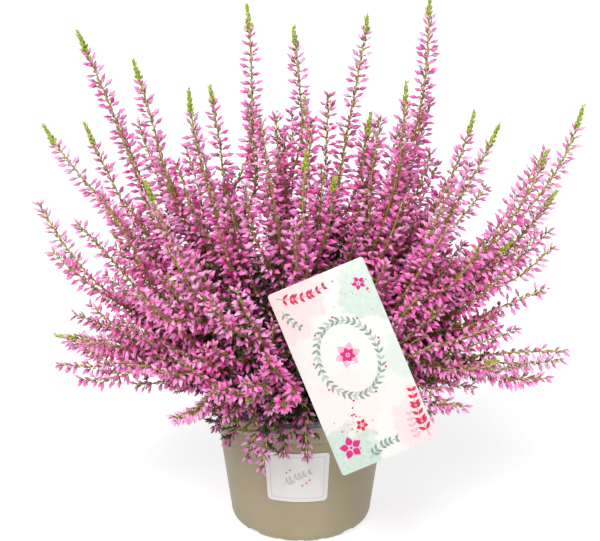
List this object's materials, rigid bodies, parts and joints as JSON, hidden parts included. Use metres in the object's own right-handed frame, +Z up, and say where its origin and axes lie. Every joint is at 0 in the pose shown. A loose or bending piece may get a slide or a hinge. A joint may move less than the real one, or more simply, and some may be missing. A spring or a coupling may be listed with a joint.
{
  "type": "potted heather",
  "caption": "Heather in full pink flower in its round taupe nursery pot, with a white sticker on the pot and a picture label on a stake.",
  "frame": {"origin": "centre of the pot's flat underside, on the surface that it stands on", "axes": "+Z up along the pot's axis; -Y towards the label and the sticker, which is the front; +X to the right seen from the front"},
  "size_m": [0.3621, 0.2531, 0.3675],
  "materials": {
    "pot": "satin",
    "soil": "matte",
    "plant_label": "satin",
    "pot_sticker": "satin",
    "flower_spray_01": "matte",
    "flower_spray_02": "matte",
    "flower_spray_03": "matte",
    "flower_spray_04": "matte",
    "flower_spray_05": "matte",
    "flower_spray_06": "matte",
    "flower_spray_07": "matte",
    "flower_spray_08": "matte",
    "flower_spray_09": "matte",
    "flower_spray_10": "matte",
    "flower_spray_11": "matte",
    "flower_spray_12": "matte",
    "flower_spray_13": "matte",
    "flower_spray_14": "matte",
    "flower_spray_15": "matte",
    "flower_spray_16": "matte",
    "flower_spray_17": "matte",
    "flower_spray_18": "matte",
    "flower_spray_19": "matte",
    "flower_spray_20": "matte",
    "flower_spray_21": "matte",
    "flower_spray_22": "matte",
    "flower_spray_23": "matte",
    "flower_spray_24": "matte",
    "flower_spray_25": "matte",
    "flower_spray_26": "matte",
    "flower_spray_27": "matte",
    "flower_spray_28": "matte",
    "flower_spray_29": "matte",
    "flower_spray_30": "matte",
    "flower_spray_31": "matte",
    "flower_spray_32": "matte",
    "flower_spray_33": "matte",
    "flower_spray_34": "matte",
    "flower_spray_35": "matte",
    "flower_spray_36": "matte",
    "flower_spray_37": "matte",
    "flower_spray_38": "matte",
    "flower_spray_39": "matte",
    "flower_spray_40": "matte",
    "flower_spray_41": "matte",
    "flower_spray_42": "matte",
    "flower_spray_43": "matte",
    "flower_spray_44": "matte",
    "flower_spray_45": "matte",
    "flower_spray_46": "matte",
    "flower_spray_47": "matte",
    "flower_spray_48": "matte",
    "flower_spray_49": "matte",
    "flower_spray_50": "matte",
    "flower_spray_51": "matte",
    "flower_spray_52": "matte",
    "leafy_shoot_01": "matte",
    "leafy_shoot_02": "matte",
    "leafy_shoot_03": "matte",
    "leafy_shoot_04": "matte"
  },
  "bodies": {
    "root": {"pot": "pot", "soil": "soil", "plant_label": "plant_label", "pot_sticker": "pot_sticker", "flower_spray_01": "flower_spray_01", "flower_spray_02": "flower_spray_02", "flower_spray_03": "flower_spray_03", "flower_spray_04": "flower_spray_04", "flower_spray_05": "flower_spray_05", "flower_spray_06": "flower_spray_06", "flower_spray_07": "flower_spray_07", "flower_spray_08": "flower_spray_08", "flower_spray_09": "flower_spray_09", "flower_spray_10": "flower_spray_10", "flower_spray_11": "flower_spray_11", "flower_spray_12": "flower_spray_12", "flower_spray_13": "flower_spray_13", "flower_spray_14": "flower_spray_14", "flower_spray_15": "flower_spray_15", "flower_spray_16": "flower_spray_16", "flower_spray_17": "flower_spray_17", "flower_spray_18": "flower_spray_18", "flower_spray_19": "flower_spray_19", "flower_spray_20": "flower_spray_20", "flower_spray_21": "flower_spray_21", "flower_spray_22": "flower_spray_22", "flower_spray_23": "flower_spray_23", "flower_spray_24": "flower_spray_24", "flower_spray_25": "flower_spray_25", "flower_spray_26": "flower_spray_26", "flower_spray_27": "flower_spray_27", "flower_spray_28": "flower_spray_28", "flower_spray_29": "flower_spray_29", "flower_spray_30": "flower_spray_30", "flower_spray_31": "flower_spray_31", "flower_spray_32": "flower_spray_32", "flower_spray_33": "flower_spray_33", "flower_spray_34": "flower_spray_34", "flower_spray_35": "flower_spray_35", "flower_spray_36": "flower_spray_36", "flower_spray_37": "flower_spray_37", "flower_spray_38": "flower_spray_38", "flower_spray_39": "flower_spray_39", "flower_spray_40": "flower_spray_40", "flower_spray_41": "flower_spray_41", "flower_spray_42": "flower_spray_42", "flower_spray_43": "flower_spray_43", "flower_spray_44": "flower_spray_44", "flower_spray_45": "flower_spray_45", "flower_spray_46": "flower_spray_46", "flower_spray_47": "flower_spray_47", "flower_spray_48": "flower_spray_48", "flower_spray_49": "flower_spray_49", "flower_spray_50": "flower_spray_50", "flower_spray_51": "flower_spray_51", "flower_spray_52": "flower_spray_52", "leafy_shoot_01": "leafy_shoot_01", "leafy_shoot_02": "leafy_shoot_02", "leafy_shoot_03": "leafy_shoot_03", "leafy_shoot_04": "leafy_shoot_04"}
  },
  "joints": []
}
